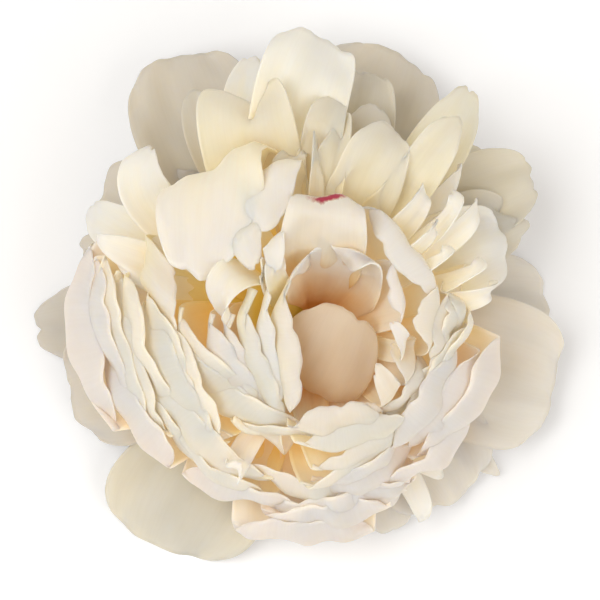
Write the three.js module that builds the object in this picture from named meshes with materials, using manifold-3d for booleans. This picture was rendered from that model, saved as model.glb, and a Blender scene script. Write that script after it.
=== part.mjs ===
// A cut double peony bloom, lying face up on a table on its guard petals and the stub of its stem.
// Broad guard petals lie round the outside, rows of cupped petals stand inside them, and a ring of
// upright petals closes round a hollow middle. Five sepals clasp the underside.
//
// Lengths are millimetres and angles are degrees. The bloom is laid out in its own frame, with +Z out of
// its face and the receptacle's foot at z 0, and the whole bloom then leans forward by LEAN.
import * as THREE from "three";
import { mergeVertices } from "three/addons/utils/BufferGeometryUtils.js";
import Module from "manifold-3d";

const wasm = await Module();
wasm.setup();

// Driving dimensions.
const BLOOM_ACROSS = 142; // tip to tip over the widest guard petals
const BLOOM_DEPTH = 54; // from the receptacle's foot to the shoulders of the innermost petals
const PETAL_THICKNESS = 0.7;
const PETAL_WIDTH_SCALE = 1; // widens or narrows every petal
const CLAW_SHARE = 0.3; // width of a petal's foot, as a share of its widest
const WIDEST_CLAW = 5.5;
const RECEPTACLE_RADIUS = 8.5;
const RECEPTACLE_HEIGHT = 11;
const STEM_RADIUS = 3.6;
const STEM_LENGTH = 9;
const SEPAL_COUNT = 5;
const SEPAL_LENGTH = 21;
const SEPAL_WIDTH = 15;
const SEPAL_THICKNESS = 0.9;
const CLEARANCE = 0.3; // free gap between any two pieces
const LEAN = 8;
const CENTRE = [4, -5]; // where the receptacle stands under the petals
const FOCUS = [11, -10, 26]; // a point in the bloom's hollow, which the petals are ordered around
const NESTING_GAP = 0.7; // more room still between the middles of nested petals, for their facets
const NESTING_REACH = 10; // how far a petal may be drawn in to lie inside its neighbours

// The petal table below is drawn for a bloom of this size, and is scaled from it.
const TABLE_ACROSS = 142;
const TABLE_DEPTH = 54;
const SPREAD = BLOOM_ACROSS / TABLE_ACROSS;
const RISE = BLOOM_DEPTH / TABLE_DEPTH;

// Colours from the ivory rim to the warmer throat.
const IVORY = 0xf1ecdf;
const CREAM = 0xf0e6cf;
const SHADED = 0xd8d0c4;
const LEAF_GREEN = 0x7d9150;
const STEM_GREEN = 0x8fa35c;

// One row for each petal, from the outermost to the innermost: its name, the shoulder that its midrib
// passes over, its tip, its greatest width, and what sets it apart. cup bends its sides up, in degrees at
// the edge. blunt is 2 for a round tip, more for a blunt one and less for a pointed one. curl lifts the tip
// off the midrib's line, notch nicks it, and roll tilts the petal about its midrib. A petal's back faces
// outward from the receptacle, swung round by turn, or in the direction that faces gives.
const GUARDS = [
  ["guard_top_left", [-19, 33, 4], [-31, 65, -4], 36, { cup: 22, blunt: 2.6 }],
  ["guard_left_upper", [-28, 19, 2], [-50, 32, -4], 32, { cup: 18, blunt: 2.4 }],
  ["guard_left_notched", [-32, 8, 0], [-58, 12, -6], 18, { cup: 12, notch: 0.1 }],
  ["guard_left_far", [-40, -6, 0], [-69.5, -8, -8], 23, { cup: 16 }],
  ["guard_left_low", [-41, -21, 6], [-59, -27, 2], 35, { cup: 24, blunt: 2.4 }],
  ["guard_bottom_left", [-20, -38, 4], [-35, -67, -0.5], 46, { cup: 24, blunt: 2.4 }],
  ["guard_bottom_middle", [3, -40, 9], [6, -64, 4], 34, { cup: 16, blunt: 2.6 }],
  ["guard_bottom_edge", [15, -40, 7], [24, -64, 2], 26, { cup: 14, blunt: 2.6 }],
  ["guard_bottom_right", [29, -33, 6], [44, -54, 2], 37, { cup: 20, blunt: 2.2 }],
  ["guard_right", [43, -17, 6], [70, -25, 3], 41, { cup: 18, blunt: 2.8 }],
  ["guard_right_back", [40, -3, -1], [69, -1, -8], 28, { cup: 14, blunt: 2.4 }],
  ["guard_right_upper", [32, 22, 2], [54, 38, -3], 22, { blunt: 1.7 }],
  ["guard_top_right", [14, 33, 3], [27, 66, -4], 38, { cup: 20, blunt: 2.6 }],
];
const MIDDLE = [
  ["top_narrow", [-12, 36, 19], [-10, 64, 14], 12, { cup: 15, blunt: 1.8 }],
  ["top_tall", [0, 38, 31], [8, 68, 24], 25, { cup: 16, blunt: 3.6, roll: 10 }],
  ["upper_right_shade", [15, 38, 18], [20, 60, 13], 21, { cup: 24 }],
  ["right_point", [32, 30, 24], [47, 55, 20], 16, { cup: 14, blunt: 1.8 }],
  ["right_notched", [39, 21, 16], [65, 32, 11], 24, { notch: 0.12 }],
  ["right_pointed", [39, 14, 20], [62, 21, 14], 22, { blunt: 1.8 }],
  ["right_broad", [41, 10, 28], [55, 15, 22], 25, { cup: 20 }],
  ["bottom_outer", [3, -60, 12], [2, -58, 24], 40, { cup: 34, blunt: 3 }],
  ["bottom_edge", [21, -58, 12], [22, -57, 24], 26, { cup: 30, blunt: 3 }],
  ["left_outer", [-54, -11, 13], [-50, -10, 31], 56, { cup: 48, blunt: 3.2, faces: 188 }],
  ["left_second", [-48, -15, 20], [-43, -15, 38], 56, { cup: 50, blunt: 3, faces: 198 }],
  ["bottom_left_outer", [-28, -47, 15], [-24, -41, 34], 54, { cup: 50, blunt: 3, faces: 234 }],
  ["right_low_face", [33, -37, 14], [44, -49, 12], 21, { cup: 16 }],
  ["right_outer", [46, -29, 20], [42, -27, 38], 44, { cup: 48, blunt: 3, faces: -36 }],
  ["right_second", [46, -18, 26], [41, -17, 43], 36, { cup: 44, blunt: 2.8, faces: -20 }],
  ["right_third", [48, -3, 26], [43, -4, 42], 28, { cup: 36, blunt: 2.4, faces: -6 }],
  ["bottom_long", [19, -52, 20], [18, -49, 35], 47, { cup: 44, blunt: 3, faces: -80 }],
];
const INNER = [
  ["left_third", [-42, -17, 26], [-36, -18, 43], 50, { cup: 48, blunt: 3, faces: 202 }],
  ["left_fourth", [-35, -18, 31], [-29, -18, 47], 42, { cup: 44, blunt: 2.8, faces: 204 }],
  ["left_cupped", [-42, 6, 28], [-31, -5, 45], 27, { cup: 36, blunt: 2.6 }],
  ["left_white", [-34, 20, 29], [-36, 39, 30], 15, { cup: 16 }],
  ["crown_upper_left", [-10, 36, 36], [-12, 55, 31], 26, { cup: 26, blunt: 3 }],
  ["upper_fold", [6, 34, 36], [12, 52, 30], 12, { cup: 24 }],
  ["upper_right_cream", [18, 28, 40], [26, 44, 38], 20, { cup: 24, blunt: 1.8 }],
  ["upper_right_wave", [28, 28, 41], [43, 46, 37], 15, { cup: 24, blunt: 1.6, roll: 20 }],
  ["crown_left", [-17, 37, 38], [-23, 4, 50], 29, { cup: 26, blunt: 1.9 }],
  ["crown_middle", [-7, 34, 41], [-6, 17, 50.5], 20, { cup: 22, blunt: 1.9 }],
  ["bottom_second", [22, -46, 29], [20, -41, 43], 44, { cup: 44, blunt: 3, faces: -72 }],
  ["crescent", [-28, -31, 33], [-18, -25, 49], 64, { cup: 58, blunt: 3.2, faces: 222 }],
  ["right_fourth", [41, -9, 34], [36, -8, 47], 25, { cup: 36, blunt: 2.4, faces: -12 }],
  ["right_inner", [34, -29, 37], [28, -25, 49], 32, { cup: 40, blunt: 2.8, faces: -40 }],
  ["right_arc", [31, 14, 41], [25, 9, 51], 36, { cup: 50, blunt: 2.8, faces: 38 }],
  ["lower_lip", [11, -34, 43], [11, -27, 52], 27, { cup: 30, blunt: 2.8, faces: -84 }],
];
const HEART = [
  ["heart_left_outer", [-20, -19, 40], [-13, -17, 50], 32, { cup: 30, blunt: 3, faces: 190 }],
  ["heart_leaf", [-13, 6, 48], [-23, -7, 48], 10, { faces: 232, cup: 14 }],
  ["heart_left_second", [-13, -17, 42], [-6, -17, 51], 42, { cup: 30, blunt: 3.2, faces: 186 }],
  ["heart_left", [-5, -12, 43], [2, -12, 52], 36, { cup: 26, blunt: 3.2, faces: 182 }],
  ["heart_back", [8, 15, 49.5], [8, 25, 48], 23, { cup: 24, blunt: 2.6 }],
  ["heart_right_leaf", [26, 1, 44], [24, 1, 52], 19, { cup: 30, blunt: 2.6, faces: 10 }],
  ["heart_hood", [11, 13, 42], [10, 16, 52], 38, { cup: 86, blunt: 3.4, faces: 86 }],
  ["heart_inner", [4, -23, 38], [14, -3, 43], 27, { cup: 30, blunt: 2.6, faces: 225 }],
];

const radians = THREE.MathUtils.degToRad;
const clamp = THREE.MathUtils.clamp;

// A point of the petal table, at this bloom's size.
function place([x, y, z]) {
  return new THREE.Vector3(x * SPREAD, y * SPREAD, z * RISE);
}

// Where a petal grows on the receptacle: facing its shoulder, and higher up the dome the further in it is.
function footOf(shoulder, level) {
  const centre = new THREE.Vector3(CENTRE[0] * SPREAD, CENTRE[1] * SPREAD, 0);
  const azimuth = Math.atan2(shoulder.y - centre.y, shoulder.x - centre.x);
  const climb = radians(10 + 68 * level);
  const reach = RECEPTACLE_RADIUS * Math.cos(climb);
  return centre.add(
    new THREE.Vector3(
      reach * Math.cos(azimuth),
      reach * Math.sin(azimuth),
      RECEPTACLE_HEIGHT * Math.sin(climb),
    ),
  );
}

// The place of grid point (u, v) on a flattened petal: how far along its midrib, as a share, and how far
// across, in half widths. Above the widest line the grid is rounded off into the tip.
function outline(shape, u, v) {
  const { widest, blunt, claw, notch } = shape;
  if (u < widest) {
    const share = u / widest;
    return [u, v * (claw + (1 - claw) * Math.sin((share * Math.PI) / 2))];
  }
  const over = (u - widest) / (1 - widest);
  const narrowing = (1 - over ** blunt / 2) ** (1 / blunt);
  const rounding = (1 - Math.abs(v) ** blunt / 2) ** (1 / blunt);
  const dip = 1 - notch * over * over * Math.exp(-((v / 0.3) ** 2));
  return [widest + (1 - widest) * over * rounding * dip, v * narrowing];
}

// A petal's mid-surface, as rows of points from its foot to its tip.
function surface(shape, rows, columns) {
  const { foot, shoulder, tip, width, cup, curl, turn, roll, faces } = shape;
  const control = shoulder.clone().multiplyScalar(2);
  control.addScaledVector(foot, -0.5).addScaledVector(tip, -0.5);
  const midrib = new THREE.QuadraticBezierCurve3(foot, control, tip);
  const length = midrib.getLength();
  const outward = shoulder.clone().add(tip).multiplyScalar(0.5).sub(foot);
  const own = Math.atan2(outward.y, outward.x) + radians(turn);
  const azimuth = faces === null ? own : radians(faces);
  const level = new THREE.Vector3(-Math.sin(azimuth), Math.cos(azimuth), 0);
  const grid = [];
  for (let i = 0; i <= rows; i++) {
    const row = [];
    for (let j = 0; j <= columns; j++) {
      const v = (2 * j) / columns - 1;
      const [along, across] = outline(shape, i / rows, v);
      const tangent = midrib.getTangentAt(clamp(along, 0, 1));
      const side = level.clone().addScaledVector(tangent, -level.dot(tangent)).normalize();
      side.applyAxisAngle(tangent, radians(roll) * along);
      const inward = tangent.clone().cross(side);
      const bend = radians(cup) * Math.min(1, along * 1.6) + 1e-4;
      const radius = width / 2 / bend;
      const lift = curl * clamp((along - 0.6) / 0.4, 0, 1) ** 2;
      const p = midrib.getPointAt(clamp(along, 0, 1));
      p.addScaledVector(side, radius * Math.sin(bend * across));
      p.addScaledVector(inward, radius * (1 - Math.cos(bend * across)) + lift);
      row.push(p);
    }
    grid.push(row);
  }
  return grid;
}

// The faces of the sheets laid so far, each as its three corners.
const laidFaces = [];

function facesOf(grid) {
  const faces = [];
  for (let i = 0; i + 1 < grid.length; i++)
    for (let j = 0; j + 1 < grid[i].length; j++) {
      faces.push([grid[i][j], grid[i + 1][j], grid[i + 1][j + 1]]);
      faces.push([grid[i][j], grid[i + 1][j + 1], grid[i][j + 1]]);
    }
  return faces;
}

// How far a point has to move toward the focus to lie inside the sheets laid around it.
function pullOn(point, focus, room) {
  const distance = point.distanceTo(focus);
  const ray = new THREE.Ray(focus, point.clone().sub(focus).normalize());
  const hit = new THREE.Vector3();
  let pull = 0;
  for (const [a, b, c] of laidFaces) {
    if (!ray.intersectTriangle(a, b, c, false, hit)) continue;
    const needed = distance + room - hit.distanceTo(focus);
    if (needed < NESTING_REACH) pull = Math.max(pull, needed);
  }
  return pull;
}

// Draws a petal's grid in toward the focus, so that it nests inside the sheets laid before it. The pull is
// spread over neighbouring points, which keeps the petal smooth.
function nest(grid, thickness) {
  const focus = place(FOCUS);
  const room = thickness + CLEARANCE + NESTING_GAP;
  let pulls = grid.map((row) => row.map((p) => pullOn(p, focus, room)));
  for (let pass = 0; pass < 2; pass++)
    pulls = pulls.map((row, i) =>
      row.map((own, j) => {
        const near = [pulls[i - 1]?.[j], pulls[i + 1]?.[j], row[j - 1], row[j + 1]];
        const known = near.filter((pull) => pull !== undefined);
        return Math.max(own, known.reduce((sum, pull) => sum + pull, 0) / known.length);
      }),
    );
  const nested = grid.map((row, i) =>
    row.map((p, j) => p.clone().addScaledVector(focus.clone().sub(p).normalize(), pulls[i][j])),
  );
  laidFaces.push(...facesOf(nested));
  return nested;
}

// A grid widened and lengthened by a little all round, to keep a neighbour clear of the petal's edges.
function widened(grid, by) {
  const rows = grid.length - 1;
  const columns = grid[0].length - 1;
  return grid.map((row, i) =>
    row.map((p, j) => {
      const out = p.clone();
      if (j === 0 || j === columns) {
        const inner = row[j === 0 ? 1 : columns - 1];
        out.addScaledVector(p.clone().sub(inner).normalize(), by);
      }
      if (i === 0 || i === rows) {
        const inner = grid[i === 0 ? 1 : rows - 1][j];
        out.addScaledVector(p.clone().sub(inner).normalize(), by);
      }
      return out;
    }),
  );
}

// The normal of a grid of points at (i, j), from its neighbours.
function normalAt(grid, i, j) {
  const rows = grid.length - 1;
  const columns = grid[0].length - 1;
  const along = grid[Math.min(i + 1, rows)][j].clone().sub(grid[Math.max(i - 1, 0)][j]);
  const across = grid[i][Math.min(j + 1, columns)].clone().sub(grid[i][Math.max(j - 1, 0)]);
  return along.cross(across).normalize();
}

// A closed sheet of the given thickness about a grid of points, which faces as another grid does.
function sheet(grid, thickness, facing = grid) {
  const rows = grid.length - 1;
  const columns = grid[0].length - 1;
  const count = (rows + 1) * (columns + 1);
  const positions = [];
  for (const side of [0.5, -0.5])
    for (let i = 0; i <= rows; i++)
      for (let j = 0; j <= columns; j++) {
        const p = grid[i][j].clone();
        p.addScaledVector(normalAt(facing, i, j), side * thickness);
        positions.push(p.x, p.y, p.z);
      }
  const at = (i, j) => i * (columns + 1) + j;
  const faces = [];
  const quad = (a, b, c, d) => faces.push(a, b, c, a, c, d);
  for (let i = 0; i < rows; i++)
    for (let j = 0; j < columns; j++) {
      quad(at(i, j), at(i + 1, j), at(i + 1, j + 1), at(i, j + 1));
      quad(
        count + at(i, j),
        count + at(i, j + 1),
        count + at(i + 1, j + 1),
        count + at(i + 1, j),
      );
    }
  const rim = [];
  for (let j = 0; j < columns; j++) rim.push(at(0, j));
  for (let i = 0; i < rows; i++) rim.push(at(i, columns));
  for (let j = columns; j > 0; j--) rim.push(at(rows, j));
  for (let i = rows; i > 0; i--) rim.push(at(i, 0));
  rim.forEach((a, k) => {
    const b = rim[(k + 1) % rim.length];
    quad(a, b, count + b, count + a);
  });
  const geometry = new THREE.BufferGeometry();
  geometry.setAttribute("position", new THREE.Float32BufferAttribute(positions, 3));
  geometry.setIndex(faces);
  return geometry;
}

// A three.js geometry as a manifold-3d solid, and back.
function solidOf(geometry) {
  const bare = geometry.clone();
  bare.deleteAttribute("normal");
  bare.deleteAttribute("uv");
  const merged = mergeVertices(bare, 1e-4);
  return new wasm.Manifold(
    new wasm.Mesh({
      numProp: 3,
      vertProperties: merged.attributes.position.array,
      triVerts: new Uint32Array(merged.index.array),
    }),
  );
}

function geometryOf(solid) {
  const { vertProperties, triVerts } = solid.getMesh();
  const geometry = new THREE.BufferGeometry();
  geometry.setAttribute("position", new THREE.BufferAttribute(vertProperties, 3));
  geometry.setIndex(new THREE.BufferAttribute(triVerts, 1));
  return geometry;
}

// What is left of a solid after its neighbours are cut away: its largest body.
function largestBody(solid) {
  return solid.decompose().reduce((a, b) => (b.volume() > a.volume() ? b : a));
}

// A solid joined with copies of itself that are moved by gap each way, which fill the room round it.
function withRoom(solid, gap) {
  const { vertProperties, triVerts } = solid.getMesh();
  let room = solid;
  for (const axis of [0, 1, 2])
    for (const step of [gap, -gap]) {
      const moved = vertProperties.map((value, k) => (k % 3 === axis ? value + step : value));
      const mesh = new wasm.Mesh({ numProp: 3, vertProperties: moved, triVerts });
      room = room.add(new wasm.Manifold(mesh));
    }
  return room;
}

// The volume that two solids share.
function sharedVolume(solid, other) {
  const rest = solid.subtract(other);
  const shared = solid.volume() - rest.volume();
  rest.delete();
  return shared;
}

// The receptacle and the stub of the stem are one piece: a dome on a flared stalk. grow thickens it.
function stalk(grow = 0) {
  const radius = RECEPTACLE_RADIUS + grow;
  const profile = [new THREE.Vector2(0, -STEM_LENGTH - grow)];
  profile.push(new THREE.Vector2(STEM_RADIUS + grow, -STEM_LENGTH - grow));
  profile.push(new THREE.Vector2(STEM_RADIUS + grow, -STEM_LENGTH / 3));
  const steps = 5;
  for (let k = 0; k < steps; k++) {
    const a = (k / steps) * (Math.PI / 2);
    const height = (RECEPTACLE_HEIGHT + grow) * Math.sin(a);
    profile.push(new THREE.Vector2(radius * Math.cos(a), height));
  }
  profile.push(new THREE.Vector2(0, RECEPTACLE_HEIGHT + grow));
  const geometry = new THREE.LatheGeometry(profile, 16);
  geometry.rotateX(Math.PI / 2);
  geometry.translate(CENTRE[0] * SPREAD, CENTRE[1] * SPREAD, 0);
  return solidOf(geometry);
}

// A petal's full description from its row in the table. level runs from 0 outside to 1 inside.
function petalShape([name, shoulder, tip, width, traits], level) {
  const over = place(shoulder);
  const wide = width * SPREAD * PETAL_WIDTH_SCALE;
  const claw = Math.min(CLAW_SHARE * wide, WIDEST_CLAW) / wide;
  return {
    ...{ cup: 15, blunt: 2, curl: 0, turn: 0, roll: 0, notch: 0, widest: 0.7, faces: null },
    ...traits,
    ...{ name, shoulder: over, tip: place(tip), width: wide, claw },
    ...{ foot: footOf(over, level) },
  };
}

// A sepal hugs the underside of the guard petals: alternate ones are broad and pointed.
function sepalShape(k) {
  const azimuth = radians((360 / SEPAL_COUNT) * k + 20);
  const broad = k % 2 === 0;
  const centre = new THREE.Vector3(CENTRE[0] * SPREAD, CENTRE[1] * SPREAD, 0);
  const out = new THREE.Vector3(Math.cos(azimuth), Math.sin(azimuth), 0);
  const foot = centre.clone().addScaledVector(out, STEM_RADIUS);
  foot.z = -SEPAL_THICKNESS;
  const shoulder = centre.clone().addScaledVector(out, STEM_RADIUS + SEPAL_LENGTH * 0.5);
  shoulder.z = -3.4;
  const tip = centre.clone().addScaledVector(out, STEM_RADIUS + SEPAL_LENGTH);
  tip.z = broad ? -3.5 : -5;
  return {
    ...{ cup: 14, curl: 0, turn: 0, roll: 0, notch: 0, widest: broad ? 0.6 : 0.4, faces: null },
    ...{ name: `sepal_${k + 1}`, foot, shoulder, tip },
    ...{ width: broad ? SEPAL_WIDTH : SEPAL_WIDTH * 0.7, claw: 0.5, blunt: broad ? 2.2 : 1.5 },
  };
}

const bloom = new THREE.Group();
const receptacle = stalk();
const receptacleRoom = stalk(CLEARANCE);

function add(name, solid, colour, roughness) {
  const material = new THREE.MeshStandardMaterial({ color: colour, roughness, metalness: 0 });
  const mesh = new THREE.Mesh(geometryOf(solid), material);
  mesh.name = name;
  bloom.add(mesh);
}

// Each sheet nests inside the sheets laid before it, and where it would still touch one of them or the
// receptacle it is cut back, so that all the pieces lie clear of each other.
const laid = [];
const pieces = [];
let joined = receptacle;
function layDown(shape, rows, columns, thickness, colour) {
  const grid = nest(surface(shape, rows, columns), thickness);
  let solid = solidOf(sheet(grid, thickness));
  solid = largestBody(solid.subtract(receptacleRoom));
  for (const taken of laid) {
    const cut = solid.subtract(taken);
    if (cut.volume() < solid.volume() - 1e-3) solid = largestBody(cut);
    else cut.delete();
  }
  // A sheet that folds over itself leaves holes in its room, so a piece may still reach another one there.
  if (sharedVolume(solid, joined) > 1e-4)
    for (const piece of pieces)
      if (sharedVolume(solid, piece) > 1e-4)
        solid = largestBody(solid.subtract(withRoom(piece, 2 * CLEARANCE)));
  pieces.push(solid);
  joined = joined.add(solid);
  const room = sheet(widened(grid, CLEARANCE), thickness + 2 * CLEARANCE, grid);
  laid.push(solidOf(room).add(solid));
  add(shape.name, solid, colour, 0.6);
}

add("receptacle_and_stem", receptacle, STEM_GREEN, 0.6);
for (let k = 0; k < SEPAL_COUNT; k++)
  layDown(sepalShape(k), 5, 4, SEPAL_THICKNESS, LEAF_GREEN);
const layers = [
  [GUARDS, SHADED, 5, 4],
  [MIDDLE, IVORY, 6, 4],
  [INNER, IVORY, 6, 4],
  [HEART, CREAM, 5, 4],
];
const total = layers.reduce((sum, [rows]) => sum + rows.length, 0);
let index = 0;
for (const [rows, colour, lengthSteps, widthSteps] of layers)
  for (const row of rows) {
    const shape = petalShape(row, index / (total - 1));
    layDown(shape, lengthSteps, widthSteps, PETAL_THICKNESS, colour);
    index += 1;
  }

// The bloom leans forward, and then stands on z 0 with the middle of its box over the origin.
bloom.rotation.x = radians(LEAN);
bloom.updateMatrixWorld(true);
const box = new THREE.Box3().setFromObject(bloom, true);
const middle = box.getCenter(new THREE.Vector3());
bloom.position.set(-middle.x, -middle.y, -box.min.z);

export default bloom;
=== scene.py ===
"""A cut double peony bloom, lying face up on a pale floor.

Every petal is a thin sheet: a grid that is bent along a midrib, cupped across it, fluted and ruffled, then
drawn in toward the hollow of the bloom until it nests inside the petals laid round it. Lengths are in
millimetres until a piece's mesh is made, and angles are in degrees.
"""

import math

import bmesh
import bpy
import numpy as np
from mathutils import Matrix, Vector
from mathutils.bvhtree import BVHTree


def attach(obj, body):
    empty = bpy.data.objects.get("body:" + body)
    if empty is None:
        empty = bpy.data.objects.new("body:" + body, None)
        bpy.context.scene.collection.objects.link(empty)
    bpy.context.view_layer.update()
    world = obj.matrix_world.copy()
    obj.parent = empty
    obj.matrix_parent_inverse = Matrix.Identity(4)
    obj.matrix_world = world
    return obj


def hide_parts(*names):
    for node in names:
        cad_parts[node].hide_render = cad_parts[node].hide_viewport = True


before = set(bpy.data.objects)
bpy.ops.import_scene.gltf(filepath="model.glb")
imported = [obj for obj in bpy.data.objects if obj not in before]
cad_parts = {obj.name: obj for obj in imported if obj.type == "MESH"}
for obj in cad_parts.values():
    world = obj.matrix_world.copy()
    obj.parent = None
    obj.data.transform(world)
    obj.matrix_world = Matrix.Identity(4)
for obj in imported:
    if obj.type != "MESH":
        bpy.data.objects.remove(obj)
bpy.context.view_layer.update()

MM = 0.001
LEAN = 8  # how far the bloom leans forward
CENTRE = (4, -5)  # where the receptacle stands under the petals
FOCUS = np.array((11, -10, 26))  # the point in the bloom's hollow that the petals are ordered around
RECEPTACLE_RADIUS = 8.5
RECEPTACLE_HEIGHT = 11
STEM_RADIUS = 3.6
STEM_LENGTH = 9
PETAL_THICKNESS = 0.35
SEPAL_THICKNESS = 0.8
LENGTH_STEPS = 44
WIDTH_STEPS = 40
NEST_LENGTH_STEPS = 14
NEST_WIDTH_STEPS = 8
NESTING_ROOM = 0.7  # between the middles of two nested petals
NESTING_REACH = 11  # how far a petal may be drawn in
SEED = 7
FOOT_CLIMB = (10, 78)  # how far up the receptacle's dome the outermost and the innermost petal grow
CLAW_WIDTH = 5.5  # of a petal's foot, though never over CLAW_SHARE of its greatest width
CLAW_SHARE = 0.3
NARROW_PETAL = 16  # a petal no wider than this needs half the columns
FULL_WIDTH = 25  # from this width on a petal is fluted, ruffled and crumpled in full
FLUTE_HEIGHTS = (0.35, 0.18)
RUFFLE_HEIGHTS = (0.8, 0.25, 0.5)
FOLD_HEIGHT = 1.2
CREASE_HEIGHT = 0.3
SEPALS = 5
FLECK_AT = (0.45, 0.965)  # across and along its petal
FLECK_SPREAD = (3.4, 25)  # how many times its reach goes into the petal's width and length

# One row for each petal, from the outermost to the innermost: its name, the shoulder that its midrib
# passes over, its tip, its greatest width, and what sets it apart.
GUARDS = [
    ("guard_top_left", (-19, 33, 4), (-31, 65, -4), 36, {"cup": 22, "blunt": 2.6}),
    ("guard_left_upper", (-28, 19, 2), (-50, 32, -4), 32, {"cup": 18, "blunt": 2.4}),
    ("guard_left_notched", (-32, 8, 0), (-58, 12, -6), 18, {"cup": 12, "notch": 0.1}),
    ("guard_left_far", (-40, -6, 0), (-69.5, -8, -8), 23, {"cup": 16}),
    ("guard_left_low", (-41, -21, 6), (-59, -27, 2), 35, {"cup": 24, "blunt": 2.4}),
    ("guard_bottom_left", (-20, -38, 4), (-35, -67, -0.5), 46, {"cup": 24, "blunt": 2.4, "ragged": 0.1}),
    ("guard_bottom_middle", (3, -40, 9), (6, -64, 4), 34, {"cup": 16, "blunt": 2.6}),
    ("guard_bottom_edge", (15, -40, 7), (24, -64, 2), 26, {"cup": 14, "blunt": 2.6}),
    ("guard_bottom_right", (29, -33, 6), (44, -54, 2), 37, {"cup": 20, "blunt": 2.2}),
    ("guard_spur", (36, -32, 3), (56, -49, -1), 13, {"blunt": 1.6}),
    ("guard_right", (43, -17, 6), (70, -25, 3), 41, {"cup": 18, "blunt": 2.8}),
    ("guard_right_back", (40, -3, -1), (69, -1, -8), 28, {"cup": 14, "blunt": 2.4}),
    ("guard_right_upper", (32, 22, 2), (54, 38, -3), 22, {"blunt": 1.7}),
    ("guard_top_right", (14, 33, 3), (27, 66, -4), 38, {"cup": 20, "blunt": 2.6}),
]
MIDDLE = [
    ("left_shade", (-18, 34, 13), (-26, 55, 7), 13, {"cup": 20}),
    ("top_narrow", (-12, 36, 19), (-10, 64, 14), 12, {"cup": 15, "blunt": 1.8}),
    ("top_tall", (0, 38, 31), (8, 68, 24), 25, {"cup": 16, "blunt": 3.6, "roll": 10}),
    ("upper_right_shade", (15, 38, 18), (20, 60, 13), 21, {"cup": 24}),
    ("right_point", (32, 30, 24), (47, 55, 20), 16, {"cup": 14, "blunt": 1.8}),
    ("right_notched", (39, 21, 16), (65, 32, 11), 24, {"notch": 0.12}),
    ("right_pointed", (39, 14, 20), (62, 21, 14), 22, {"blunt": 1.8}),
    ("right_broad", (41, 10, 28), (55, 15, 22), 25, {"cup": 20}),
    ("left_flap", (-39, 14, 20), (-53, 23, 14), 14, {"cup": 10}),
    ("bottom_outer", (3, -60, 12), (2, -58, 24), 40, {"cup": 34, "blunt": 3}),
    ("bottom_edge", (21, -58, 12), (22, -57, 24), 26, {"cup": 30, "blunt": 3}),
    ("left_outer", (-54, -11, 13), (-50, -10, 31), 56, {"cup": 48, "blunt": 3.2, "faces": 188}),
    ("left_second", (-48, -15, 20), (-43, -15, 38), 56, {"cup": 50, "blunt": 3, "faces": 198}),
    ("bottom_left_outer", (-28, -47, 15), (-24, -41, 34), 54, {"cup": 50, "blunt": 3, "faces": 234}),
    ("bottom_spoon", (30, -47, 12), (34, -60, 10), 9, {"cup": 14}),
    ("right_low_face", (33, -37, 14), (44, -49, 12), 21, {"cup": 16}),
    ("right_outer", (46, -29, 20), (42, -27, 38), 44, {"cup": 48, "blunt": 3, "faces": -36}),
    ("right_second", (46, -18, 26), (41, -17, 43), 36, {"cup": 44, "blunt": 2.8, "faces": -20}),
    ("right_third", (48, -3, 26), (43, -4, 42), 28, {"cup": 36, "blunt": 2.4, "faces": -6}),
    ("bottom_long", (19, -52, 20), (18, -49, 35), 47, {"cup": 44, "blunt": 3, "faces": -80}),
]
INNER = [
    ("left_third", (-42, -17, 26), (-36, -18, 43), 50, {"cup": 48, "blunt": 3, "faces": 202}),
    ("left_fourth", (-35, -18, 31), (-29, -18, 47), 42, {"cup": 44, "blunt": 2.8, "faces": 204}),
    ("left_cupped", (-42, 6, 28), (-31, -5, 45), 27, {"cup": 36, "blunt": 2.6}),
    ("left_white", (-34, 20, 29), (-36, 39, 30), 15, {"cup": 16}),
    ("crown_upper_left", (-10, 36, 36), (-12, 55, 31), 26, {"cup": 26, "blunt": 3, "ragged": 0.3}),
    ("upper_fold", (6, 34, 36), (12, 52, 30), 12, {"cup": 24}),
    ("upper_right_cream", (18, 28, 40), (26, 44, 38), 20, {"cup": 24, "blunt": 1.8}),
    ("upper_right_wave", (28, 28, 41), (43, 46, 37), 15, {"cup": 24, "blunt": 1.6, "roll": 20}),
    ("crown_left", (-17, 37, 38), (-23, 4, 50), 29, {"cup": 26, "blunt": 1.9}),
    ("crown_middle", (-7, 34, 41), (-6, 17, 50.5), 20, {"cup": 22, "blunt": 1.9, "ragged": 0.4}),
    ("bottom_second", (22, -46, 29), (20, -41, 43), 44, {"cup": 44, "blunt": 3, "faces": -72}),
    ("bottom_third", (30, -40, 33), (26, -36, 46), 28, {"cup": 38, "blunt": 2.6, "faces": -58}),
    ("crescent", (-28, -31, 33), (-18, -25, 49), 64, {"cup": 58, "blunt": 3.2, "faces": 222}),
    ("right_fourth", (41, -9, 34), (36, -8, 47), 25, {"cup": 36, "blunt": 2.4, "faces": -12}),
    ("right_fifth", (36, -6, 39), (31, -5, 50), 20, {"cup": 34, "faces": -8}),
    ("right_inner", (34, -29, 37), (28, -25, 49), 32, {"cup": 40, "blunt": 2.8, "faces": -40}),
    ("right_arc", (31, 14, 41), (25, 9, 51), 36, {"cup": 50, "blunt": 2.8, "faces": 38}),
    ("lower_lip", (11, -34, 43), (11, -27, 52), 27, {"cup": 30, "blunt": 2.8, "faces": -84}),
]
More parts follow.
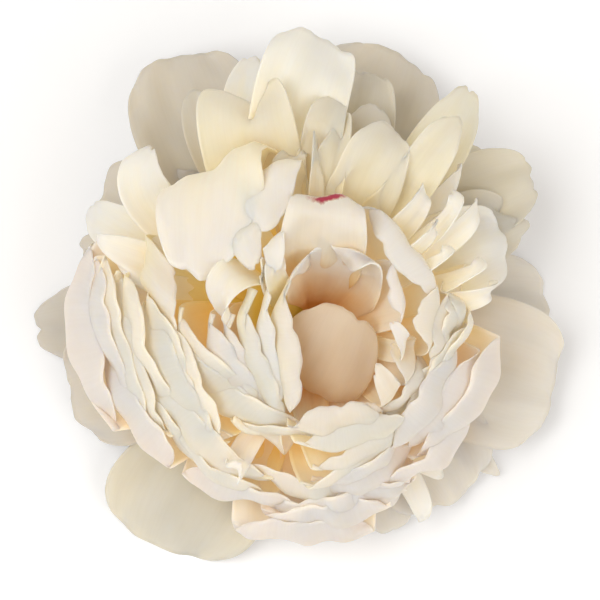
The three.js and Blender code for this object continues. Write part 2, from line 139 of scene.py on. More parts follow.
HEART = [
    ("heart_left_outer", (-20, -19, 40), (-13, -17, 50), 32, {"cup": 30, "blunt": 3, "faces": 190}),
    ("heart_leaf", (-13, 6, 48), (-23, -7, 48), 10, {"faces": 232, "cup": 14}),
    ("heart_left_second", (-13, -17, 42), (-6, -17, 51), 42, {"cup": 30, "blunt": 3.2, "faces": 186}),
    ("heart_left", (-5, -12, 43), (2, -12, 52), 36, {"cup": 26, "blunt": 3.2, "faces": 182}),
    ("heart_back", (8, 15, 49.5), (8, 25, 48), 23, {"cup": 24, "blunt": 2.6}),
    ("heart_right_leaf", (26, 1, 44), (24, 1, 52), 19, {"cup": 30, "blunt": 2.6, "faces": 10}),
    (
        "heart_hood", (11, 13, 42), (10, 16, 52), 38,
        {"cup": 86, "blunt": 3.4, "faces": 86, "ruffle": 0.3, "ragged": 0.15},
    ),
    ("heart_inner", (4, -23, 38), (14, -3, 43), 27, {"cup": 30, "blunt": 2.6, "faces": 225}),
]
# Small petals that stand between the others: the petal each is laid after, and then a row as above.
PETALOIDS = [
    ("right_broad", "petaloid_twist_low", (44, -1, 34), (51, 4, 32), 7, {"roll": 50}),
    ("right_broad", "petaloid_twist_high", (41, 4, 37), (48, 10, 35), 6, {"roll": -60}),
    ("left_fourth", "petaloid_cap_high", (-40, 8, 30), (-51, 14, 28), 14, {"cup": 20}),
    ("left_fourth", "petaloid_cap_low", (-43, 2, 29), (-53, 4, 27), 13, {"cup": 16}),
    ("upper_fold", "petaloid_fold_left", (-1, 30, 37), (1, 45, 34), 10, {"cup": 30}),
    ("upper_fold", "petaloid_fold_right", (9, 28, 39), (13, 50, 34), 9, {"cup": 40}),
    ("upper_fold", "petaloid_fold_slim", (6, 26, 41), (6, 43, 39), 5, {"roll": 60}),
    ("upper_right_shade", "petaloid_tan", (17, 33, 26), (21, 50, 24), 15, {"cup": 24}),
    ("upper_right_wave", "petaloid_tan_small", (38, 24, 30), (43, 34, 31), 8, {"roll": 30}),
    ("upper_right_wave", "petaloid_ribbon_a", (29, 19, 42), (33, 28, 43), 8, {"roll": 40}),
    ("upper_right_wave", "petaloid_ribbon_b", (36, 16, 40), (41, 27, 41), 7, {"roll": -50}),
    ("upper_right_wave", "petaloid_ribbon_c", (39, 14, 38), (47, 25, 37), 8, {"roll": 40}),
    ("upper_right_wave", "petaloid_ribbon_d", (31, 12, 44), (36, 19, 46), 6, {"roll": 70}),
    ("upper_right_wave", "petaloid_ribbon_e", (34, 7, 43), (39, 13, 43), 6, {"roll": -70}),
    ("crescent", "petaloid_under_crescent", (-16, -44, 34), (-14, -43, 41), 8, {}),
    ("lower_lip", "petaloid_low_a", (4, -41, 41), (6, -38, 49), 9, {}),
    ("lower_lip", "petaloid_low_b", (13, -42, 41), (14, -38, 49), 10, {}),
    ("lower_lip", "petaloid_low_c", (4, -37, 44), (6, -33, 50), 12, {"cup": 30}),
    ("lower_lip", "petaloid_low_d", (19, -36, 42), (19, -29, 52), 16, {"cup": 30}),
    ("lower_lip", "petaloid_slim_white", (27, -14, 43), (25, -6, 52), 6, {"cup": 30}),
    ("lower_lip", "petaloid_oval_white", (24, -25, 43), (21, -17, 52), 8, {"cup": 20}),
    ("lower_lip", "petaloid_right_low", (31, -17, 41), (27, -15, 51), 15, {"cup": 30}),
    ("crown_middle", "petaloid_drooping_a", (-12, 17, 45), (-9, 7, 50), 10, {"cup": 20}),
    ("crown_middle", "petaloid_drooping_b", (-4, 15, 46), (-4, 6, 51), 8, {"roll": 30}),
    (
        "heart_left_second", "petaloid_heart_broad", (-9, -14, 42), (-3, -15, 51), 34,
        {"cup": 28, "blunt": 3, "faces": 184},
    ),
    ("heart_left_second", "petaloid_gold_a", (-9, 3, 44), (-7, 10, 48), 9, {"cup": 30}),
    ("heart_left_second", "petaloid_gold_b", (-4, 3, 46), (-3, 11, 49), 8, {"roll": 20}),
]
# Further petals of the same rows, each laid part of the way from one petal to another.
BETWEEN = [
    ("left_outer", "bottom_left_outer", (0.45,)),
    ("left_outer", "left_second", (0.5,)),
    ("left_second", "left_third", (0.5,)),
    ("left_second", "bottom_left_outer", (0.5,)),
    ("left_third", "crescent", (0.5,)),
    ("left_fourth", "crescent", (0.5,)),
    ("bottom_left_outer", "crescent", (0.45,)),
    ("bottom_left_outer", "bottom_long", (0.5,)),
    ("bottom_outer", "bottom_long", (0.35, 0.65)),
    ("bottom_edge", "bottom_long", (0.5,)),
    ("bottom_edge", "right_outer", (0.5,)),
    ("bottom_outer", "bottom_left_outer", (0.5,)),
    ("bottom_long", "bottom_second", (0.5,)),
    ("bottom_long", "right_outer", (0.5,)),
    ("bottom_second", "lower_lip", (0.35, 0.7)),
    ("bottom_second", "crescent", (0.35, 0.65)),
    ("bottom_second", "right_inner", (0.5,)),
    ("right_outer", "right_inner", (0.33, 0.67)),
    ("right_second", "right_inner", (0.3, 0.6)),
    ("right_third", "right_fourth", (0.5,)),
    ("crescent", "heart_left_outer", (0.5,)),
    ("heart_left_outer", "heart_left_second", (0.5,)),
]
# What a petal is like where its row doesn't say otherwise. cup bends its sides up, in degrees at the edge.
# blunt is 2 for a round tip, more for a blunt one and less for a pointed one. roll tilts it about its midrib,
# notch nicks its tip, and widest is where along it it is broadest. ruffle and flute are the heights of its
# waves, as shares of the full ones, and ragged is how deeply its rim is lobed. Its back faces outward from
# the receptacle, or in the direction that faces gives, which also marks a petal that its neighbours hold.
PLAIN = {
    "cup": 15, "blunt": 2, "roll": 0, "notch": 0, "widest": 0.7,
    "ruffle": 0.6, "flute": 1, "ragged": 0.8, "faces": None,
}


# ---- The shape of a petal -------------------------------------------------------------------------------

def foot_of(shoulder, level):
    """Where a petal grows on the receptacle: facing its shoulder, and higher the further in it is."""
    azimuth = math.atan2(shoulder[1] - CENTRE[1], shoulder[0] - CENTRE[0])
    climb = math.radians(FOOT_CLIMB[0] + (FOOT_CLIMB[1] - FOOT_CLIMB[0]) * level)
    reach = RECEPTACLE_RADIUS * math.cos(climb)
    return np.array((
        CENTRE[0] + reach * math.cos(azimuth),
        CENTRE[1] + reach * math.sin(azimuth),
        RECEPTACLE_HEIGHT * math.sin(climb),
    ))


def unit(vectors):
    """Vectors brought to a length of one."""
    return vectors / np.maximum(np.linalg.norm(vectors, axis=-1, keepdims=True), 1e-9)


def outline(traits, claw, u, v):
    """How far along the midrib, as a share, and how far across, in half widths, each grid point lies."""
    widest, blunt = traits["widest"], traits["blunt"]
    share = np.clip(u / widest, 0, 1)
    over = np.clip((u - widest) / (1 - widest), 0, 1)
    narrowing = (1 - over ** blunt / 2) ** (1 / blunt)
    rounding = (1 - np.abs(v) ** blunt / 2) ** (1 / blunt)
    dip = 1 - traits["notch"] * over ** 2 * np.exp(-((v / 0.3) ** 2))
    dip = dip - traits["rim_wave"](v) * over ** 2
    below = claw + (1 - claw) * np.sin(share * math.pi / 2)
    across = v * np.where(u < widest, below, narrowing)
    along = np.where(u < widest, u, widest + (1 - widest) * over * rounding * dip)
    return along, across


def midrib(foot, shoulder, tip):
    """A curve from foot to tip over the shoulder, as a function of the share of its length."""
    control = 2 * shoulder - (foot + tip) / 2
    t = np.linspace(0, 1, 60)[:, None]
    points = (1 - t) ** 2 * foot + 2 * t * (1 - t) * control + t ** 2 * tip
    steps = np.linalg.norm(np.diff(points, axis=0), axis=1)
    lengths = np.concatenate(([0], np.cumsum(steps)))
    length = lengths[-1]
    shares = lengths / length
    tangents = unit(np.gradient(points, axis=0))

    def at(share, values):
        return np.stack([np.interp(share, shares, values[:, k]) for k in range(3)], axis=-1)

    return length, lambda share: at(share, points), lambda share: unit(at(share, tangents))


def turned(vectors, axes, angles):
    """Vectors turned about unit axes."""
    c, s = np.cos(angles)[..., None], np.sin(angles)[..., None]
    dots = np.sum(vectors * axes, axis=-1, keepdims=True)
    return vectors * c + np.cross(axes, vectors) * s + axes * dots * (1 - c)


def surface(row, level, rows, columns, random):
    """A petal's mid-surface as a (rows + 1) by (columns + 1) grid of points, from its foot to its tip."""
    _, shoulder, tip, width, own = row
    traits = {**PLAIN, **own}
    waves = random.uniform(0, math.tau, 12)
    rim = traits["ragged"]
    lobes = random.uniform(2, 3.6)
    traits["rim_wave"] = lambda v: rim * (
        0.09 * (1 - np.abs(np.sin(lobes * v + waves[0]))) ** 1.6
        + 0.02 * np.sin(5 * v + waves[1]) + 0.01 * np.sin(17 * v + waves[2])
    )
    shoulder, tip = np.array(shoulder, float), np.array(tip, float)
    foot = np.array(own["foot"], float) if "foot" in own else foot_of(shoulder, level)
    claw = min(CLAW_SHARE * width, CLAW_WIDTH) / width
    u, v = np.meshgrid(np.linspace(0, 1, rows + 1), np.linspace(-1, 1, columns + 1), indexing="ij")
    along, across = outline(traits, claw, u, v)
    length, place, direction = midrib(foot, shoulder, tip)
    outward = (shoulder + tip) / 2 - foot
    azimuth = math.atan2(outward[1], outward[0])
    if traits["faces"] is not None:
        azimuth = math.radians(traits["faces"])
    sideways = np.array((-math.sin(azimuth), math.cos(azimuth), 0))
    share = np.clip(along, 0, 1)
    tangent = direction(share)
    side = unit(sideways - tangent * np.sum(sideways * tangent, axis=-1, keepdims=True))
    side = turned(side, tangent, math.radians(traits["roll"]) * share)
    inward = np.cross(tangent, side)
    bend = math.radians(traits["cup"]) * np.minimum(1, share * 1.6) + 1e-4
    radius = width / 2 / bend
    edge = np.abs(v)
    crown = np.clip((u - 0.55) / 0.45, 0, 1)
    size = min(1, width / FULL_WIDTH)
    freedom = 1 if traits["faces"] is None else 0.5
    # Shallow flutes run the length of the blade, and the free margin ruffles.
    broad, fine = FLUTE_HEIGHTS
    flutes = broad * np.sin(6 * v + waves[3] + 1.5 * u) + fine * np.sin(13 * v + waves[4])
    flutes = traits["flute"] * size * flutes * np.sin(math.pi * np.clip(u, 0, 1) ** 0.7)
    margin = np.maximum(edge ** 4, crown ** 3)
    long, short, cross = RUFFLE_HEIGHTS
    ripple = long * np.sin(7 * u + 3 * v + waves[5]) + short * np.sin(15 * u - 5 * v + waves[6])
    ripple = ripple + cross * np.sin(5 * v + waves[7])
    ruffles = traits["ruffle"] * freedom * size * ripple * margin * (0.25 + 0.75 * u)
    # The blade is softly crumpled, in folds some 20 mm apart and finer creases.
    x, y = v * width / 2, u * length
    folds = np.sin(0.2 * y + 0.17 * x + waves[8]) * np.sin(0.3 * x - 0.06 * y + waves[9])
    creases = np.sin(0.5 * x + 0.13 * y + waves[10]) * np.sin(0.35 * y - 0.2 * x + waves[11])
    crumple = FOLD_HEIGHT * folds + CREASE_HEIGHT * creases
    crumple = freedom * size * crumple * np.clip((u - 0.2) / 0.4, 0, 1)
    lift = flutes + ruffles + crumple
    points = place(share)
    points = points + side * (radius * np.sin(bend * across))[..., None]
    points = points + inward * (radius * (1 - np.cos(bend * across)) + lift)[..., None]
    return points


# ---- Nesting --------------------------------------------------------------------------------------------

def averaged(field):
    """A grid of numbers, each the mean of the four beside it."""
    padded = np.pad(field, 1, mode="edge")
    return (padded[:-2, 1:-1] + padded[2:, 1:-1] + padded[1:-1, :-2] + padded[1:-1, 2:]) / 4


class Nest:
    """The petals laid so far, which later ones are drawn inside."""

    def __init__(self):
        self.points = []
        self.faces = []

    def pull_on(self, tree, point, room):
        """How far a point has to move toward the focus to lie inside the petals laid around it."""
        offset = Vector(point - FOCUS)
        distance = offset.length
        direction = offset.normalized()
        start = max(distance - NESTING_REACH, 1)
        hit = tree.ray_cast(Vector(FOCUS) + direction * start, direction, distance + room - start)[0]
        return 0 if hit is None else distance + room - (hit - Vector(FOCUS)).length

    def pulls(self, grid, room):
        """How far each point of a grid is drawn in, eased out from the points that have to move most."""
        if not self.faces:
            return np.zeros(grid.shape[:2])
        tree = BVHTree.FromPolygons(self.points, self.faces)
        pulls = np.array([[self.pull_on(tree, point, room) for point in line] for line in grid])
        for _ in range(3):
            pulls = np.maximum(pulls, averaged(pulls))
        return pulls

    def add(self, grid):
        """Lays a petal, so that later ones find it around them."""
        first = len(self.points)
        rows, columns = grid.shape[0] - 1, grid.shape[1] - 1
        self.points.extend(Vector(point) for point in grid.reshape(-1, 3))
        for i in range(rows):
            for j in range(columns):
                corner = first + i * (columns + 1) + j
                self.faces.append((corner, corner + columns + 1, corner + columns + 2, corner + 1))


def resampled(field, rows, columns):
    """A coarse grid of numbers, read smoothly at the points of a finer grid."""
    high, wide = field.shape
    u = np.linspace(0, high - 1, rows + 1)
    v = np.linspace(0, wide - 1, columns + 1)
    tall = np.stack([np.interp(u, np.arange(high), column) for column in field.T], 1)
    fine = np.stack([np.interp(v, np.arange(wide), line) for line in tall], 0)
    for _ in range(4):
        fine = averaged(fine)
    return fine


def drawn_in(grid, pulls):
    """A grid moved toward the focus."""
    return grid + unit(FOCUS - grid) * pulls[..., None]


# ---- From grids to pieces -------------------------------------------------------------------------------

def bloom_place():
    """The turn and shift from the bloom's own frame to the CAD frame, read from the receptacle."""
    lean = Matrix.Rotation(math.radians(LEAN), 4, "X")
    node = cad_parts["receptacle_and_stem"]
    upright = [lean.inverted() @ vertex.co for vertex in node.data.vertices]
    low = [min(point[k] for point in upright) for k in range(3)]
    high = [max(point[k] for point in upright) for k in range(3)]
    shift = Vector((
        (low[0] + high[0]) / 2 - CENTRE[0] * MM,
        (low[1] + high[1]) / 2 - CENTRE[1] * MM,
        low[2] + STEM_LENGTH * MM,
    ))
    return lean @ Matrix.Translation(shift) @ Matrix.Scale(MM, 4)


PLACE = bloom_place()


def finish_mesh(bm, name, material, thickness=0):
    """Makes a mesh piece in the CAD frame and gives a sheet its thickness. Nothing dips below the floor."""
    bmesh.ops.transform(bm, matrix=PLACE, verts=bm.verts)
    for vertex in bm.verts:
        vertex.co.z = max(vertex.co.z, thickness / 2 * MM)
    for face in bm.faces:
        face.smooth = True
    mesh = bpy.data.meshes.new(name)
    bm.to_mesh(mesh)
    bm.free()
    mesh.materials.append(material)
    piece = bpy.data.objects.new(name, mesh)
    bpy.context.scene.collection.objects.link(piece)
    if thickness:
        solidify = piece.modifiers.new("thickness", "SOLIDIFY")
        solidify.thickness = thickness * MM
        solidify.offset = 0
    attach(piece, "root")
    return piece


def sheet_piece(name, grid, material, thickness):
    """A petal or sepal: a grid bent to the given points, with its own UV map, v along and u across."""
    rows, columns = grid.shape[0] - 1, grid.shape[1] - 1
    bm = bmesh.new()
    bmesh.ops.create_grid(bm, x_segments=columns, y_segments=rows, size=1)
    uv_layer = bm.loops.layers.uv.new("petal")
    for face in bm.faces:
        for loop in face.loops:
            loop[uv_layer].uv = ((loop.vert.co.x + 1) / 2, (loop.vert.co.y + 1) / 2)
    for vertex in bm.verts:
        i = round((vertex.co.y + 1) / 2 * rows)
        j = round((vertex.co.x + 1) / 2 * columns)
        vertex.co = Vector(grid[i, j])
    return finish_mesh(bm, name, material, thickness)


# ---- Materials ------------------------------------------------------------------------------------------

def linear(colour):
    """An sRGB hex colour as linear RGBA."""
    parts = [int(colour[k:k + 2], 16) / 255 for k in (1, 3, 5)]
    return [c / 12.92 if c <= 0.04045 else ((c + 0.055) / 1.055) ** 2.4 for c in parts] + [1]


def add_node(tree, kind, values=None, links=None, **settings):
    """Adds a node with its settings, its sockets' values and the links into it."""
    node = tree.nodes.new(kind)
    for name, value in settings.items():
        setattr(node, name, value)
    for socket, value in (values or {}).items():
        node.inputs[socket].default_value = value
    for socket, source in (links or {}).items():
        tree.links.new(source, node.inputs[socket])
    return node


def ramp(tree, source, stops):
    """A colour ramp of (position, hex colour) stops."""
    node = add_node(tree, "ShaderNodeValToRGB", links={"Fac": source})
    elements = node.color_ramp.elements
    while len(elements) < len(stops):
        elements.new(0.5)
    for element, (position, colour) in zip(elements, stops):
        element.position = position
        element.color = linear(colour)
    return node.outputs["Color"]


def new_material(name):
    material = bpy.data.materials.new(name)
    material.use_nodes = True
    material.node_tree.nodes.clear()
    return material, material.node_tree


def petal_material(name, stops, glow, painted_glow_at_foot, fleck=None):
    """Living petal: thin wet tissue that light soaks through, so it glows in folds and never shines hard.

    stops colour it from foot to tip. The foot is golden, as in real petals, and darker and more orange than
    that as painted shade for the deep gaps between petals. glow is how much light soaks through.
    painted_glow_at_foot is the strength of a painted glow: the petal emits its own colour, fading toward its
    tip, in place of light reaching it through the petals around it. Fine veins run its length.
    """
    material, tree = new_material(name)
    uv = add_node(tree, "ShaderNodeUVMap", uv_map="petal").outputs["UV"]
    split = add_node(tree, "ShaderNodeSeparateXYZ", links={"Vector": uv})
    mottle = add_node(
        tree, "ShaderNodeTexNoise",
        values={"Scale": 4.0, "Detail": 3.0},
        links={"Vector": uv},
    ).outputs["Fac"]
    wander = add_node(
        tree, "ShaderNodeMath", operation="MULTIPLY_ADD",
        values={1: 0.22, 2: -0.11}, links={0: mottle},
    ).outputs[0]
    along = add_node(tree, "ShaderNodeMath", operation="ADD", links={0: split.outputs["Y"], 1: wander})
    colour = ramp(tree, along.outputs[0], stops)
    # Veins run up the blade, some forty side by side, each about half its length.
    veins_at = add_node(
        tree, "ShaderNodeMapping", values={"Scale": (42, 2.2, 1)}, links={"Vector": uv}
    ).outputs["Vector"]
    veins = add_node(
        tree, "ShaderNodeTexNoise", noise_dimensions="2D",
        values={"Scale": 1.0, "Detail": 2.0}, links={"Vector": veins_at},
    ).outputs["Fac"]
    vein_tint = ramp(tree, veins, [(0.3, "#E9E1D6"), (0.62, "#FFFFFF")])
    colour = add_node(
        tree, "ShaderNodeMix", data_type="RGBA", blend_type="MULTIPLY",
        values={0: 0.08}, links={6: colour, 7: vein_tint},
    ).outputs[2]
    if fleck:
        colour = fleck(tree, uv, colour)
    # Painted glow: the petal emits its own colour, strongly at its foot and faintly toward its tip, in place
    # of light that has come through many petals into the depths between them.
    painted_glow_along = add_node(
        tree, "ShaderNodeMapRange", values={1: 0.25, 2: 0.9, 3: painted_glow_at_foot, 4: 0.04},
        links={0: along.outputs[0]},
    ).outputs[0]
    bump = add_node(
        tree, "ShaderNodeBump", values={"Strength": 0.06, "Distance": 0.0003}, links={"Height": veins}
    ).outputs["Normal"]
    shader = add_node(
        tree, "ShaderNodeBsdfPrincipled",
        values={
            "Roughness": 0.55,
            "IOR": 1.4,
            "Specular IOR Level": 0.3,
            "Subsurface Weight": glow,
            "Subsurface Radius": (1.0, 0.75, 0.45),
            "Subsurface Scale": 0.0035,
            "Sheen Weight": 0.12,
            "Sheen Roughness": 0.4,
        },
        links={"Base Color": colour, "Normal": bump, "Emission Color": colour, "Emission Strength": painted_glow_along},
    )
    add_node(tree, "ShaderNodeOutputMaterial", links={"Surface": shader.outputs[0]})
    return material


def crimson_fleck(tree, uv, colour):
    """The streak of crimson that many white peonies carry on the rim of one inner petal."""
    noise = add_node(
        tree, "ShaderNodeTexNoise", values={"Scale": 14.0, "Detail": 2.0}, links={"Vector": uv}
    )
    shifted = add_node(
        tree, "ShaderNodeVectorMath", operation="MULTIPLY_ADD",
        values={1: (0.16, 0.07, 0), 2: (-0.08, -0.035, 0)}, links={0: noise.outputs["Color"]},
    ).outputs[0]
    at = add_node(tree, "ShaderNodeVectorMath", operation="ADD", links={0: uv, 1: shifted}).outputs[0]
    (across, along), (wide, high) = FLECK_AT, FLECK_SPREAD
    near = add_node(
        tree, "ShaderNodeMapping",
        values={"Location": (-across * wide, -along * high, 0), "Scale": (wide, high, 0)},
        links={"Vector": at},
    ).outputs["Vector"]
    distance = add_node(tree, "ShaderNodeVectorMath", operation="LENGTH", links={0: near}).outputs["Value"]
    mask = add_node(
        tree, "ShaderNodeMapRange", values={1: 1.0, 2: 0.55, 3: 0.0, 4: 1.0}, links={0: distance}
    ).outputs[0]
    return add_node(
        tree, "ShaderNodeMix", data_type="RGBA", values={7: linear("#A3244E")}, links={0: mask, 6: colour}
    ).outputs[2]


def leaf_material(name, dark, light):
    """Young leaf: a smooth green skin with a dull wax on it, mottled in a darker and a lighter green."""
    material, tree = new_material(name)
    uv = add_node(tree, "ShaderNodeUVMap", uv_map="petal").outputs["UV"]
    noise = add_node(tree, "ShaderNodeTexNoise", values={"Scale": 7.0, "Detail": 4.0}, links={"Vector": uv})
    colour = ramp(tree, noise.outputs["Fac"], [(0.3, dark), (0.7, light)])
    veins_at = add_node(
        tree, "ShaderNodeMapping", values={"Scale": (18, 1.5, 1)}, links={"Vector": uv}
    ).outputs["Vector"]
    veins = add_node(
        tree, "ShaderNodeTexNoise", noise_dimensions="2D", values={"Scale": 1.0}, links={"Vector": veins_at}
    ).outputs["Fac"]
    bump = add_node(
        tree, "ShaderNodeBump", values={"Strength": 0.4, "Distance": 0.0004}, links={"Height": veins}
    ).outputs["Normal"]
    shader = add_node(
        tree, "ShaderNodeBsdfPrincipled",
        values={
            "Roughness": 0.5, "IOR": 1.45, "Specular IOR Level": 0.4,
            "Subsurface Weight": 0.25, "Subsurface Radius": (0.6, 1.0, 0.2), "Subsurface Scale": 0.0015,
        },
        links={"Base Color": colour, "Normal": bump},
    )
    add_node(tree, "ShaderNodeOutputMaterial", links={"Surface": shader.outputs[0]})
    return material


# Guard petals are ivory like the rest, greyed and darkened as painted shade because they lie low under the
# bloom. The second copy is darker still, as painted shade for the top and left guards. The third is lighter,
# as painted light for the right and lower guards where the light falls.
guard_petal = petal_material(
    "guard petal, ivory greyed as painted shade",
    [(0.05, "#C8A878"), (0.35, "#CABEA8"), (0.65, "#CCC2B0"), (0.95, "#D6CEC0")], 0.5, 0.03,
)
shaded_guard_petal = petal_material(
    "guard petal, ivory greyed darker as painted shade",
    [(0.05, "#B89A70"), (0.35, "#BCB2A4"), (0.65, "#C0B8AE"), (0.95, "#CAC2BA")], 0.5, 0.02,
)
painted_light_guard_petal = petal_material(
    "guard petal, ivory greyed lighter as painted light",
    [(0.05, "#D0B080"), (0.35, "#D6CABA"), (0.65, "#DAD0C4"), (0.95, "#E4DCD2")], 0.5, 0.04,
)
ivory_petal = petal_material(
    "ivory petal",
    [(0.12, "#B88A24"), (0.34, "#E6C464"), (0.56, "#F3E2BC"), (0.9, "#F9F2E2")], 0.7, 0.24,
)
cream_petal = petal_material(
    "cream petal",
    [(0.12, "#C08020"), (0.38, "#EAC274"), (0.64, "#F5E2BC"), (0.92, "#F9EDD6")], 0.7, 0.24,
)
blush_petal = petal_material(
    "blush ivory petal",
    [(0.12, "#C08028"), (0.38, "#E8C084"), (0.64, "#F4DFC6"), (0.92, "#F8EBDC")], 0.7, 0.22,
)
heart_petal = petal_material(
    "heart petal, deep cream",
    [(0.12, "#C08038"), (0.4, "#E0B888"), (0.66, "#EED8BC"), (0.95, "#F7ECDC")], 0.7, 0.2,
)
# A golden foot, as real petals have, deepened to orange as painted shade, for the petals round the deep lower
# gaps.
orange_footed_petal = petal_material(
    "inner petal with an orange foot",
    [(0.12, "#B4601A"), (0.4, "#D89A50"), (0.66, "#EED3AE"), (0.95, "#F7EAD4")], 0.7, 0.18,
)
# A golden foot, as real petals have, darkened toward olive as painted shade, for the petals round the deep
# gaps at the left of the hollow.
golden_petal = petal_material(
    "inner petal, golden foot darkened as painted shade",
    [(0.12, "#A88A1E"), (0.4, "#D8BE62"), (0.66, "#EBDAB0"), (0.95, "#F6ECD8")], 0.7, 0.22,
)
flecked_petal = petal_material(
    "heart petal with a crimson fleck",
    [(0.12, "#B86A1C"), (0.4, "#DDAE6E"), (0.66, "#F2E0C6"), (0.95, "#F8EEDC")], 0.7, 0.14, crimson_fleck,
)
# Ivory darkened to a shaded cream as painted shade, for petals lying in shade toward the top and upper right
# of the bloom.
shaded_petal = petal_material(
    "ivory petal, shaded cream",
    [(0.12, "#A87A2E"), (0.38, "#D0B47E"), (0.64, "#DECEAE"), (0.92, "#EADFCA")], 0.7, 0.18,
)
# Tan as painted shade: this petal lines the deep hollow of the bloom.
innermost_petal = petal_material(
    "innermost petal, tan as painted shade",
    [(0.12, "#A0582A"), (0.4, "#C0926A"), (0.66, "#CCAF92"), (0.95, "#DCC6AE")], 0.7, 0.1,
)
sepal_leaf = leaf_material("sepal, waxy young leaf", "#5F7A3A", "#8FA65C")
stem_skin = leaf_material("stalk, smooth green skin", "#7C9650", "#A3B873")

# The petals of each material. A guard petal that isn't here is a guard_petal, a heart petal a heart_petal,
# and any other an ivory_petal. Petals lying in shade take the copies darkened as painted shade, and the
# right and lower guards take the copy lightened as painted light.
PETALS_OF = [
    (shaded_guard_petal, {
        "guard_top_left", "guard_left_upper", "guard_left_notched", "guard_left_far", "guard_left_low",
        "guard_top_right",
    }),
    (painted_light_guard_petal, {
        "guard_right", "guard_right_back", "guard_bottom_right", "guard_bottom_edge", "guard_spur",
    }),
    (guard_petal, {"right_notched", "right_pointed", "upper_right_shade", "left_shade", "petaloid_tan"}),
    (shaded_petal, {
        "upper_right_cream", "upper_right_wave", "upper_fold", "petaloid_fold_left", "petaloid_fold_right",
        "petaloid_fold_slim", "right_point", "crown_upper_left",
    }),
    (flecked_petal, {"heart_back"}),
    (innermost_petal, {"heart_inner"}),
    (golden_petal, {"heart_left", "heart_left_second", "left_cupped", "petaloid_gold_a", "petaloid_gold_b"}),
    (orange_footed_petal, {
        "lower_lip", "right_inner", "petaloid_low_a", "petaloid_low_c", "petaloid_low_d",
        "petaloid_right_low", "petaloid_oval_white",
    }),
    (ivory_petal, {"heart_leaf"}),
    (cream_petal, {
        "left_second", "left_third", "left_fourth", "bottom_left_outer", "crescent", "right_second",
        "right_third", "right_fourth", "right_fifth", "bottom_second", "bottom_third",
    }),
    (blush_petal, {"left_outer", "right_outer", "bottom_outer", "bottom_edge", "bottom_long"}),
]


def material_of(name):
    """A petal's material. One laid between two others has the material of the first."""
    name = name.split("_to_")[0]
    for material, names in PETALS_OF:
        if name in names:
            return material
    if name.startswith("guard"):
        return guard_petal
    return heart_petal if name.startswith("heart") else ivory_petal


# ---- The bloom ------------------------------------------------------------------------------------------

def blended(first, second, share, name, random):
    """A row part of the way from one row to another, and a little out of line with both."""
    aside = random.uniform(-1.6, 1.6, 3)

    def mix(a, b):
        """A point between two."""
        return tuple(p + (q - p) * share + more for p, q, more in zip(a, b, aside))

    traits = {**PLAIN, **first[4]}
    others = {**PLAIN, **second[4]}
    for key in ("cup", "blunt"):
        traits[key] += (others[key] - traits[key]) * share
    if traits["faces"] is not None and others["faces"] is not None:
        swing = (others["faces"] - traits["faces"] + 180) % 360 - 180
        traits["faces"] += swing * share + random.uniform(-6, 6)
    width = (first[3] + (second[3] - first[3]) * share) * random.uniform(0.8, 1.05)
    return name, mix(first[1], second[1]), mix(first[2], second[2]), width, traits


def all_rows():
    """Every petal from the outermost to the innermost, with the small ones and the ones between."""
    rows = []
    random = np.random.default_rng(SEED)
    named = {row[0]: row for row in GUARDS + MIDDLE + INNER + HEART}
    for row in named.values():
        rows.append(row)
        rows.extend(petaloid[1:] for petaloid in PETALOIDS if petaloid[0] == row[0])
        for first, second, shares in BETWEEN:
            if first == row[0]:
                for k, share in enumerate(shares):
                    name = f"{first}_to_{second}_{k + 1}"
                    rows.append(blended(row, named[second], share, name, random))
    return rows


def make_petals():
    """Lays the petals from the outermost in: a coarse copy finds how far each is drawn in."""
    rows = all_rows()
    nest = Nest()
    for index, row in enumerate(rows):
        name, width = row[0], row[3]
        level = index / (len(rows) - 1)
        # Both copies draw the same random numbers, because they are the same petal.
        seed = SEED + index
        coarse = surface(row, level, NEST_LENGTH_STEPS, NEST_WIDTH_STEPS, np.random.default_rng(seed))
        pulls = nest.pulls(coarse, NESTING_ROOM)
        nest.add(drawn_in(coarse, pulls))
        columns = WIDTH_STEPS if width > NARROW_PETAL else WIDTH_STEPS // 2
        fine = surface(row, level, LENGTH_STEPS, columns, np.random.default_rng(seed))
        fine = drawn_in(fine, resampled(pulls, LENGTH_STEPS, columns))
        piece = sheet_piece(name + "_blade", fine, material_of(name), PETAL_THICKNESS)
        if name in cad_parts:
            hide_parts(name)


def make_sepals():
    """Sepals hug the underside of the guard petals: alternate ones are broad and pointed."""
    for k in range(SEPALS):
        azimuth = math.radians(360 / SEPALS * k + 20)
        broad = k % 2 == 0
        out = np.array((math.cos(azimuth), math.sin(azimuth), 0))
        centre = np.array((*CENTRE, 0))
        foot = centre + out * STEM_RADIUS + (0, 0, -0.9)
        shoulder = centre + out * (STEM_RADIUS + 10.5) + (0, 0, -3.4)
        tip = centre + out * (STEM_RADIUS + 21) + (0, 0, -3.5 if broad else -5)
        traits = {
            "foot": foot, "cup": 14, "widest": 0.6 if broad else 0.4, "blunt": 2.2 if broad else 1.5,
            "ruffle": 0.3, "flute": 0.3, "ragged": 0.3,
        }
        row = (f"sepal_{k + 1}", shoulder, tip, 15 if broad else 10.5, traits)
        grid = surface(row, 0, 24, 16, np.random.default_rng(SEED + 300 + k))
        piece = sheet_piece(f"sepal_{k + 1}_leaf", grid, sepal_leaf, SEPAL_THICKNESS)
        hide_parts(f"sepal_{k + 1}")


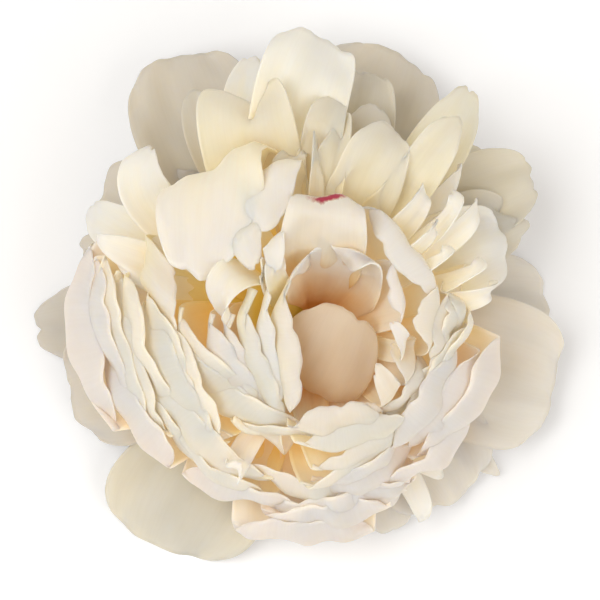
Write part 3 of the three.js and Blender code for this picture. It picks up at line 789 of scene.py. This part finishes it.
def make_stalk():
    """The receptacle's dome on the stub of the stem, spun from its profile."""
    bm = bmesh.new()
    profile = [(0.0, -STEM_LENGTH), (STEM_RADIUS - 0.4, -STEM_LENGTH), (STEM_RADIUS, -STEM_LENGTH + 0.4)]
    profile += [(STEM_RADIUS, -STEM_LENGTH * 0.6), (STEM_RADIUS + 0.3, -STEM_LENGTH / 3)]
    dome_steps = 12
    for k in range(dome_steps + 1):
        angle = k / dome_steps * math.pi / 2
        profile.append((RECEPTACLE_RADIUS * math.cos(angle), RECEPTACLE_HEIGHT * math.sin(angle)))
    points = [bm.verts.new((CENTRE[0] + x, CENTRE[1], z)) for x, z in profile]
    edges = [bm.edges.new(pair) for pair in zip(points, points[1:])]
    bmesh.ops.spin(
        bm, geom=points + edges, cent=(*CENTRE, 0), axis=(0, 0, 1),
        angle=math.tau, steps=48, use_merge=True,
    )
    bmesh.ops.remove_doubles(bm, verts=bm.verts, dist=0.001)
    bmesh.ops.recalc_face_normals(bm, faces=bm.faces)
    uv_layer = bm.loops.layers.uv.new("petal")
    height = STEM_LENGTH + RECEPTACLE_HEIGHT
    for face in bm.faces:
        for loop in face.loops:
            x, y, z = loop.vert.co
            azimuth = math.atan2(y - CENTRE[1], x - CENTRE[0])
            loop[uv_layer].uv = (azimuth / math.tau + 0.5, z / height + 0.5)
    piece = finish_mesh(bm, "stalk_and_receptacle", stem_skin)
    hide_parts("receptacle_and_stem")


make_petals()
make_sepals()
make_stalk()


# ---- Floor, camera and light ----------------------------------------------------------------------------

def make_floor():
    """A wide sheet of white paper."""
    bm = bmesh.new()
    bmesh.ops.create_grid(bm, x_segments=1, y_segments=1, size=3)
    mesh = bpy.data.meshes.new("floor")
    bm.to_mesh(mesh)
    bm.free()
    material, tree = new_material("matt white paper")
    shader = add_node(
        tree, "ShaderNodeBsdfPrincipled",
        values={
            "Base Color": linear("#F8FAFF"), "Roughness": 0.9,
            "Emission Color": linear("#F4F8FF"), "Emission Strength": 0.1,
        },
    )
    add_node(tree, "ShaderNodeOutputMaterial", links={"Surface": shader.outputs[0]})
    mesh.materials.append(material)
    floor = bpy.data.objects.new("floor", mesh)
    bpy.context.scene.collection.objects.link(floor)


def make_camera():
    """The camera looks straight into the bloom's face, from far off."""
    away = 900
    width_in_view = 157
    aim = Vector((2.1, -0.8, 20))
    camera = bpy.data.cameras.new("camera")
    camera.sensor_width = 36
    camera.lens = camera.sensor_width * away / width_in_view
    holder = bpy.data.objects.new("camera", camera)
    holder.location = PLACE @ (aim + Vector((0, 0, away)))
    holder.rotation_euler = (math.radians(LEAN), 0, 0)
    bpy.context.scene.collection.objects.link(holder)
    bpy.context.scene.camera = holder


def make_light(name, direction, distance, size, power, colour):
    """A square area light that faces the bloom. Its distance and size are in metres."""
    data = bpy.data.lights.new(name, "AREA")
    data.size = size
    data.energy = power
    data.color = linear(colour)[:3]
    lamp = bpy.data.objects.new(name, data)
    place = Vector(direction).normalized() * distance
    lamp.location = place
    lamp.rotation_euler = (-place).to_track_quat("-Z", "Y").to_euler()
    bpy.context.scene.collection.objects.link(lamp)


def make_world():
    """The even light of a pale room."""
    world = bpy.data.worlds.new("pale room")
    world.use_nodes = True
    background = world.node_tree.nodes["Background"]
    background.inputs["Color"].default_value = linear("#FFF7EA")
    background.inputs["Strength"].default_value = 0.45
    bpy.context.scene.world = world


make_floor()
make_camera()
make_light("softbox", (-0.5, -0.05, 1), 1.3, 0.9, 9.3, "#FFFEFA")
make_light("fill", (0.7, -0.5, 0.9), 1.5, 1.2, 7.5, "#FFFCF6")
make_world()
bpy.context.scene.view_settings.view_transform = "Standard"
